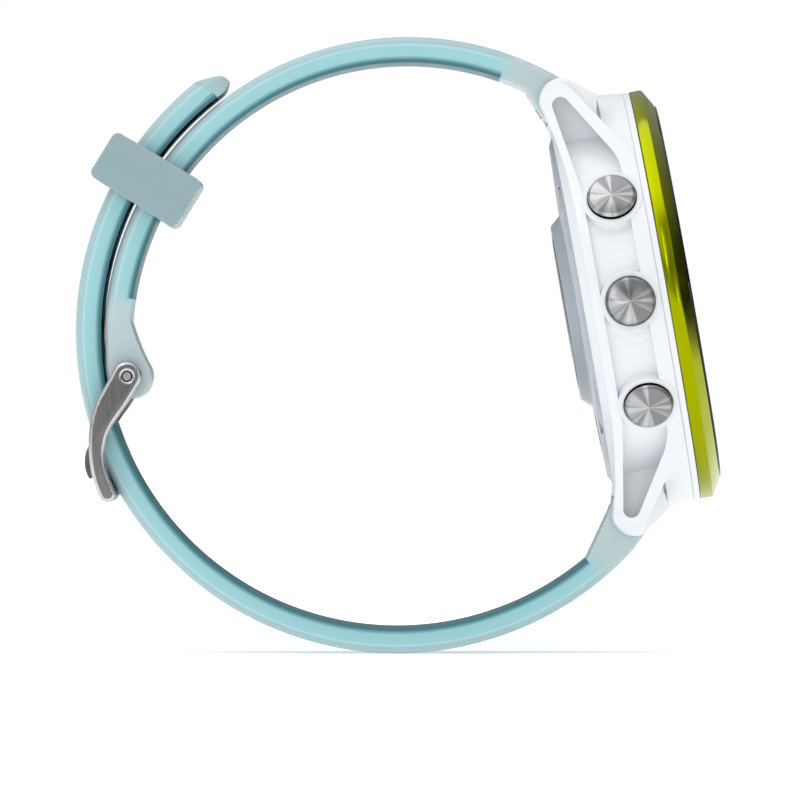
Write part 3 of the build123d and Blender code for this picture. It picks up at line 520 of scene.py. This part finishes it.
def shade_smooth(mesh, sharp_angle):
    for face in mesh.polygons:
        face.use_smooth = True
    mesh.set_sharp_from_angle(angle=math.radians(sharp_angle))


def skin(name, mesh_data, material):
    """A finished bmesh as an object with outward faces, a material and smooth shading."""
    bmesh.ops.recalc_face_normals(mesh_data, faces=mesh_data.faces)
    piece = mesh_object(name, mesh_data)
    piece.data.materials.append(material)
    shade_smooth(piece.data, SKIN_ANGLE)
    return piece


def declare(piece, body, node):
    """Hangs a piece under its body's empty and hides the CAD node that it stands for."""
    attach(piece, body)
    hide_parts(node)


def section(inner, outer, half_width, inner_round, outer_round):
    """A rounded rectangle across the band between an inner and an outer point of the plane."""
    span = Vector((outer[0] - inner[0], outer[1] - inner[1]))
    depth = span.length
    out = span.normalized()
    inner_round = min(inner_round, depth * 0.3, half_width * 0.4)
    outer_round = min(outer_round, depth * 0.45, half_width * 0.4)
    quarter = [math.pi / 2 * step / ROUND_STEPS for step in range(ROUND_STEPS + 1)]
    side_points = [
        (
            inner_round - inner_round * math.cos(turn),
            half_width - inner_round + inner_round * math.sin(turn),
        )
        for turn in quarter
    ]
    side_points += [
        (
            depth - outer_round + outer_round * math.sin(turn),
            half_width - outer_round + outer_round * math.cos(turn),
        )
        for turn in quarter
    ]
    ring = [(0.0, 0.0)] + side_points + [(depth, 0.0)] + [(a, -y) for a, y in reversed(side_points)]
    return [Vector((inner[0] + out.x * a, y, inner[1] + out.y * a)) * MM for a, y in ring]


def swept(stations, inner_round, outer_round):
    """A closed band through sections.

    A station is an inner point, an outer point, a half width and, if it isn't the usual one, the
    rounding of its inner edges.
    """
    mesh_data = bmesh.new()
    rings = []
    for inner, outer, half_width, *own in stations:
        rounding = own[0] if own else inner_round
        points = section(inner, outer, half_width, rounding, outer_round)
        rings.append([mesh_data.verts.new(point) for point in points])
    for first, second in zip(rings, rings[1:]):
        count = len(first)
        for index in range(count):
            following = (index + 1) % count
            mesh_data.faces.new((first[index], first[following], second[following], second[index]))
    for ring in (rings[0], rings[-1]):
        mesh_data.faces.new(ring)
    return mesh_data


def apply_modifiers(piece):
    """Swaps a piece's mesh for the one that its modifiers make."""
    graph = bpy.context.evaluated_depsgraph_get()
    graph.update()
    made = bpy.data.meshes.new_from_object(piece.evaluated_get(graph))
    piece.modifiers.clear()
    old = piece.data
    piece.data = made
    bpy.data.meshes.remove(old)


def cut(piece, cutter):
    """Cuts one mesh object out of another for good."""
    modifier = piece.modifiers.new("cut", "BOOLEAN")
    modifier.operation = "DIFFERENCE"
    modifier.solver = "EXACT"
    modifier.object = cutter
    apply_modifiers(piece)
    bpy.data.objects.remove(cutter)


def prism(outline, base, first, second, normal, reach):
    """A straight prism from an outline in two directions, reaching both ways along a normal."""
    mesh_data = bmesh.new()
    ends = []
    for height in (-reach, reach):
        points = [(base + first * u + second * v + normal * height) * MM for u, v in outline]
        ends.append([mesh_data.verts.new(point) for point in points])
    low, high = ends
    count = len(outline)
    for index in range(count):
        following = (index + 1) % count
        mesh_data.faces.new((low[index], low[following], high[following], high[index]))
    mesh_data.faces.new(low)
    mesh_data.faces.new(high)
    bmesh.ops.recalc_face_normals(mesh_data, faces=mesh_data.faces)
    return mesh_object("cutter", mesh_data)


def stadium(length, width):
    """The outline of a slot with round ends."""
    half = (length - width) / 2
    outline = []
    for centre, start in ((half, -90), (-half, 90)):
        for step in range(HOLE_STEPS + 1):
            turn = math.radians(start + 180 * step / HOLE_STEPS)
            outline.append((centre + width / 2 * math.cos(turn), width / 2 * math.sin(turn)))
    return outline


def hole_cutters():
    """The adjustment holes, as prisms through both layers of the long band."""
    outline = stadium(HOLE_LENGTH, HOLE_WIDTH)
    cutters = []
    for degrees in HOLE_ANGLES:
        turn = math.radians(degrees)
        base = in_space(on_circle(LONG_CENTRE, LONG_INNER + THICKNESS / 2, degrees))
        along = Vector((-math.sin(turn), 0, math.cos(turn)))
        normal = Vector((math.cos(turn), 0, math.sin(turn)))
        cutters.append(prism(outline, base, along, ACROSS, normal, HOLE_REACH))
    return cutters


def tail_half_width(degrees):
    """Half width of the long band near its rounded tail."""
    along = math.radians(degrees - TAIL_ANGLE) * (LONG_INNER + THICKNESS / 2)
    drop = TAIL_RADIUS - TAIL_BULGE + max(TAIL_START - along, 0)
    return min(HALF_WIDTH, math.sqrt(max(TAIL_RADIUS**2 - drop**2, TAIL_LEAST_SQUARE)))


# ---------------------------------------------------------------- bands
def lug_stations(sign, centre, inner, start_inner, start_outer):
    """The thick end of a band at its lug, from the spring bar out to the round part."""
    corners = (LUG_NOSE, LUG_FOOT, LUG_TIP, LUG_HEEL)
    nose, foot, tip, heel = (head_point(height, sign * reach) for height, reach in corners)
    join_inner = on_circle(centre, inner, start_inner)
    join_outer = on_circle(centre, inner + THICKNESS, start_outer)
    stations = [(foot, nose, HALF_WIDTH)]
    for step in range(LUG_STEPS):
        share = step / LUG_STEPS
        stations.append(
            (between(heel, join_inner, share), between(tip, join_outer, share), HALF_WIDTH)
        )
    return stations


def arc_stations(centre, inner, liner_arc, inner_arc, outer_arc, count):
    """The round part of a band, stepped where the coloured layer begins and ends."""
    stations = []
    low, high = sorted(liner_arc)
    last = None
    for step in range(count + 1):
        share = step / count
        turn_in = part_way(inner_arc, share)
        covered = LINER if low <= turn_in <= high else 0.0
        outer = on_circle(centre, inner + THICKNESS, part_way(outer_arc, share))
        if stations and covered != last:
            edge = low if abs(turn_in - low) < abs(turn_in - high) else high
            for depth in (last, covered):
                step_point = on_circle(centre, inner + depth, edge)
                stations.append((step_point, outer, HALF_WIDTH, JOINT_ROUND))
        else:
            rounding = JOINT_ROUND if covered else EDGE_ROUND
            inner_point = on_circle(centre, inner + covered, turn_in)
            stations.append((inner_point, outer, HALF_WIDTH, rounding))
        last = covered
    return stations


def bulb_stations():
    """The rounded end of the short band that wraps the buckle's pin."""
    stations = []
    inner_start = on_circle(SHORT_CENTRE, SHORT_INNER, SHORT_INNER_ARC[1])
    inner_top = on_circle(BULB_CENTRE, BULB_RADIUS, BULB_INNER_TURN[0])
    outer_start = on_circle(SHORT_CENTRE, SHORT_INNER + THICKNESS, SHORT_OUTER_ARC[1])
    outer_foot = on_circle(SHORT_CENTRE, SHORT_INNER + THICKNESS, BULB_FOOT)
    for step in range(1, NECK_STEPS + 1):
        share = step / NECK_STEPS
        into_neck = between(inner_start, BULB_NECK, share)
        out_of_neck = between(BULB_NECK, inner_top, share)
        inner = between(into_neck, out_of_neck, share)
        stations.append((inner, between(outer_start, outer_foot, share), HALF_WIDTH))
    for step in range(1, BULB_STEPS + 1):
        share = step / BULB_STEPS
        inner = on_circle(BULB_CENTRE, BULB_RADIUS, part_way(BULB_INNER_TURN, share))
        outer = on_circle(BULB_CENTRE, BULB_RADIUS, part_way(BULB_OUTER_TURN, share))
        stations.append((inner, outer, HALF_WIDTH))
    return stations


def tail_stations():
    """The rounded tail of the long band."""
    stations = []
    for (turn_in, depth_in), (turn_out, depth_out) in TAIL_SHAPE:
        inner = on_circle(LONG_CENTRE, LONG_INNER + depth_in, turn_in)
        outer = on_circle(LONG_CENTRE, LONG_INNER + depth_out, turn_out)
        stations.append((inner, outer, tail_half_width((turn_in + turn_out) / 2)))
    return stations


def band_body(name, stations, material, node):
    """The outer layer of a band."""
    piece = skin(name, swept(stations, EDGE_ROUND, FLANK_ROUND), material)
    declare(piece, "watch", node)
    return piece


def liner(node, centre, inner, arc, count, material):
    """The coloured layer on the wrist's side, flush with the band's flanks."""
    stations = []
    for step in range(count + 1):
        turn = arc[0] + (arc[1] - arc[0]) * step / count
        face, joint = on_circle(centre, inner, turn), on_circle(centre, inner + LINER, turn)
        stations.append((face, joint, HALF_WIDTH))
    piece = skin(node + "_skin", swept(stations, EDGE_ROUND, JOINT_ROUND), material)
    declare(piece, "watch", node)
    return piece


short_stations = lug_stations(
    1, SHORT_CENTRE, SHORT_INNER, SHORT_INNER_ARC[0], SHORT_OUTER_ARC[0]
)
short_stations += arc_stations(
    SHORT_CENTRE, SHORT_INNER, SHORT_LINER_ARC, SHORT_INNER_ARC, SHORT_OUTER_ARC, SHORT_STEPS
)
short_stations += bulb_stations()
short_band = band_body("short_band_skin", short_stations, short_rubber, "short_band_outer")
cut(
    short_band,
    prism(
        TONGUE_SLOT, in_space(PIN), Vector((1, 0, 0)), Vector((0, 0, 1)), ACROSS, TONGUE_SLOT_REACH
    ),
)

long_stations = lug_stations(-1, LONG_CENTRE, LONG_INNER, LONG_INNER_ARC[0], LONG_OUTER_ARC[0])
long_stations += arc_stations(
    LONG_CENTRE, LONG_INNER, LONG_LINER_ARC, LONG_INNER_ARC, LONG_OUTER_ARC, LONG_STEPS
)
long_stations += tail_stations()
long_band = band_body("long_band_skin", long_stations, long_rubber, "long_band_outer")
for cutter in hole_cutters():
    cut(long_band, cutter)

liner(
    "short_band_liner", SHORT_CENTRE, SHORT_INNER, SHORT_LINER_ARC, SHORT_LINER_STEPS,
    short_liner_rubber,
)
long_liner = liner(
    "long_band_liner", LONG_CENTRE, LONG_INNER, LONG_LINER_ARC, LONG_LINER_STEPS, long_liner_rubber
)
for cutter in hole_cutters():
    cut(long_liner, cutter)


# ---------------------------------------------------------------- turned pieces
def lathe(node, profile, body, material, centre, axis, segments):
    """A turned piece from (height, radius) points along its own axis."""
    mesh_data = bmesh.new()
    rings = []
    for height, radius in profile:
        if radius < ON_AXIS:
            rings.append([mesh_data.verts.new((0, 0, height * MM))])
            continue
        ring = []
        for step in range(segments):
            turn = 2 * math.pi * step / segments
            ring.append(
                mesh_data.verts.new(
                    (radius * MM * math.cos(turn), radius * MM * math.sin(turn), height * MM)
                )
            )
        rings.append(ring)
    pairs = list(zip(rings, rings[1:]))
    if len(rings[0]) > 1:
        pairs.append((rings[-1], rings[0]))
    for first, second in pairs:
        for step in range(segments):
            following = (step + 1) % segments
            around = ((first, step), (first, following), (second, following), (second, step))
            corners = []
            for ring, index in around:
                vertex = ring[index % len(ring)]
                if vertex not in corners:
                    corners.append(vertex)
            mesh_data.faces.new(corners)
    piece = skin(node + "_skin", mesh_data, material)
    turn = axis.to_track_quat("Z", "Y").to_matrix().to_4x4()
    piece.matrix_world = Matrix.Translation(centre * MM) @ turn
    bpy.context.view_layer.update()
    declare(piece, body, node)


lathe(
    "bezel", BEZEL_PROFILE, "watch", bezel_metal, ORIGIN, DIAL_OUT,
    DIAL_SEGMENTS,
)
lathe(
    "cover_glass", GLASS_PROFILE, "watch", glass_black, ORIGIN, DIAL_OUT,
    DIAL_SEGMENTS,
)
for name, degrees in BUTTON_ANGLES.items():
    node = "button_" + name
    turn = math.radians(degrees)
    direction = Vector((0, math.cos(turn), 0)) + DIAL_UP * math.sin(turn)
    centre = DIAL_OUT * CAP_HEIGHT + direction * CAP_FACE
    lathe(node, CAP_PROFILE, node, button_metal, centre, direction, CAP_SEGMENTS)


# ---------------------------------------------------------------- softened copies of CAD pieces
def softened(node, body, width, segments=3, angle=28, edge_material=None, shaped=None):
    """A copy of a CAD piece with real rounded edges."""
    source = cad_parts[node]
    mesh_data = bmesh.new()
    mesh_data.from_mesh(source.data)
    bmesh.ops.remove_doubles(mesh_data, verts=mesh_data.verts, dist=2e-6)
    bmesh.ops.dissolve_limit(
        mesh_data, angle_limit=math.radians(0.6), verts=mesh_data.verts, edges=mesh_data.edges,
        delimit=set(),
    )
    if shaped:
        shaped(mesh_data)
    piece = mesh_object(node + "_skin", mesh_data)
    piece.data.materials.append(source.data.materials[0])
    if edge_material:
        piece.data.materials.append(edge_material)
    shade_smooth(piece.data, angle)
    bevel = piece.modifiers.new("edges", "BEVEL")
    bevel.width = width * MM
    bevel.segments = segments
    bevel.limit_method = "ANGLE"
    bevel.angle_limit = math.radians(angle)
    bevel.harden_normals = True
    apply_modifiers(piece)
    declare(piece, body, node)


def polished_flanks(mesh_data):
    """Rounds the buckle frame's two flanks all the way round, and polishes the rounding."""
    mesh_data.normal_update()
    for sign in (1, -1):
        flank = [
            face for face in mesh_data.faces
            if face.normal.y * sign > 0.99
            and face.calc_center_median().y * sign > (FRAME_OUTER - 0.05) * MM
        ]
        # rings of faces inside the flank's edge
        reach = 0.0
        for step in range(1, FLANK_STEPS + 1):
            further = FLANK_EDGE * (1 - math.cos(math.pi / 2 * step / FLANK_STEPS))
            bmesh.ops.inset_region(
                mesh_data, faces=flank, thickness=(further - reach) * MM, depth=0,
                use_even_offset=True, use_boundary=True,
            )
            reach = further
        mesh_data.normal_update()
        # the level of each ring's vertices, counted inwards from the side walls
        plane = {
            vertex for vertex in mesh_data.verts if vertex.co.y * sign > (FRAME_OUTER - 0.01) * MM
        }
        ring = {
            vertex for vertex in plane
            if any(abs(face.normal.y) < 0.9 for face in vertex.link_faces)
        }
        level = {}
        for step in range(FLANK_STEPS + 1):
            for vertex in ring:
                level[vertex] = step
            ring = {
                edge.other_vert(vertex) for vertex in ring for edge in vertex.link_edges
                if edge.other_vert(vertex) in plane and edge.other_vert(vertex) not in level
            }
        for face in mesh_data.faces:
            levels = [level.get(vertex) for vertex in face.verts]
            if None not in levels and min(levels) < FLANK_STEPS:
                face.material_index = 1
        for vertex, step in level.items():
            turn = math.pi / 2 * step / FLANK_STEPS
            vertex.co.y = sign * (FRAME_OUTER - FLANK_EDGE * (1 - math.sin(turn))) * MM


softened(
    "buckle_frame", "buckle_frame", 0.04, 2, 50, buckle_polished, polished_flanks
)
softened("buckle_tongue", "buckle_tongue", 0.15)
softened("keeper", "keeper", 0.3, 4)
softened("case_middle", "watch", 0.16)
softened("case_back", "watch", 0.12)

# ---------------------------------------------------------------- floor
FLOOR = -34.82
FLOOR_REACH = 6  # metres
FLOOR_GLOW = 0.42
SHOWN_WHITE = (1.0, 1.0, 1.0, 1.0)

floor_finish = Finish("studio_floor", (0.9, 0.9, 0.903, 1.0), 0.9, Specular_IOR_Level=0.05)
floor_finish.shader.inputs["Emission Color"].default_value = SHOWN_WHITE
floor_finish.shader.inputs["Emission Strength"].default_value = FLOOR_GLOW
floor_finish.vary_colour(floor_finish.noise(3.0, 2.0), 0.01)
mesh = bpy.data.meshes.new("floor")
corners = [(-1, -1), (1, -1), (1, 1), (-1, 1)]
mesh.from_pydata(
    [(x * FLOOR_REACH, y * FLOOR_REACH, FLOOR * MM) for x, y in corners], [], [(0, 1, 2, 3)]
)
mesh.materials.append(floor_finish.material)
add_object("floor", mesh)

# ---------------------------------------------------------------- lights
MIDDLE = Vector((-0.017, 0, -0.002))
LIGHTS = (  # name, place and size in metres, power in watts
    ("left_light", (-0.75, -0.8, 0.6), (0.6, 0.8), 1.25),
    ("right_light", (0.75, -0.75, 0.5), (0.12, 0.9), 0.9),
    ("upper_strip", (-0.3, -1.3, 0.55), (0.09, 0.5), 1.0),
    ("lower_strip", (0.35, -1.3, -0.02), (0.06, 0.4), 0.5),
)
SUN_STRENGTH = 1.55
SUN_SPREAD = 70
SUN_TILT = (8, -6, 0)

# large soft lights that look at the watch
for name, place, size, power in LIGHTS:
    light = bpy.data.lights.new(name, "AREA")
    light.shape = "RECTANGLE"
    light.size, light.size_y = size
    light.energy = power
    holder = add_object(name, light)
    holder.location = place
    holder.rotation_euler = (MIDDLE - Vector(place)).to_track_quat("-Z", "Y").to_euler()

sun = bpy.data.lights.new("overhead", "SUN")
sun.energy = SUN_STRENGTH
sun.angle = math.radians(SUN_SPREAD)
add_object("overhead", sun).rotation_euler = [math.radians(degrees) for degrees in SUN_TILT]

# ---------------------------------------------------------------- room
# A soft ceiling and a dark flag on the dial's side light the watch. The camera sees plain white
# behind it, by the light path's camera switch.
world = bpy.data.worlds.new("studio")
bpy.context.scene.world = world
world.use_nodes = True
room = Nodes(world.node_tree)
background = room.tree.nodes["Background"]
axes = room.axes("Generated")
ceiling = room.math(
    "MULTIPLY",
    room.ramp(axes["Z"], -0.2, 0.8, 0.2, 0.55),
    room.ramp(axes["X"], -0.8, 0.1, 1.7, 1.0),
)
flag = room.math(
    "MULTIPLY",
    room.ramp(axes["X"], 0.35, 0.75, 0.0, 0.9),
    room.ramp(axes["Z"], 0.25, 0.6, 1.0, 0.0),
)
room_light = room.math("MULTIPLY", ceiling, room.math("SUBTRACT", 1.0, flag))
seen = room.add("ShaderNodeLightPath")
shown = room.math("MAXIMUM", room_light, seen.outputs["Is Camera Ray"])
room.join(shown, background.inputs["Strength"])
background.inputs["Color"].default_value = SHOWN_WHITE

# ---------------------------------------------------------------- camera
SENSOR_WIDTH = 36.0
VIEW_WIDTH = 82.16
DISTANCE = 1600.0
AIM_X, AIM_Z = -16.96, -8.91
CLIP_END = 50.0  # metres

camera_data = bpy.data.cameras.new("camera")
camera_data.sensor_width = SENSOR_WIDTH
camera_data.lens = SENSOR_WIDTH * DISTANCE / VIEW_WIDTH
camera_data.clip_end = CLIP_END
camera = add_object("camera", camera_data)
camera.location = (AIM_X * MM, -DISTANCE * MM, AIM_Z * MM)
camera.rotation_euler = (math.radians(90), 0, 0)
bpy.context.scene.camera = camera
bpy.context.scene.view_settings.view_transform = "Standard"
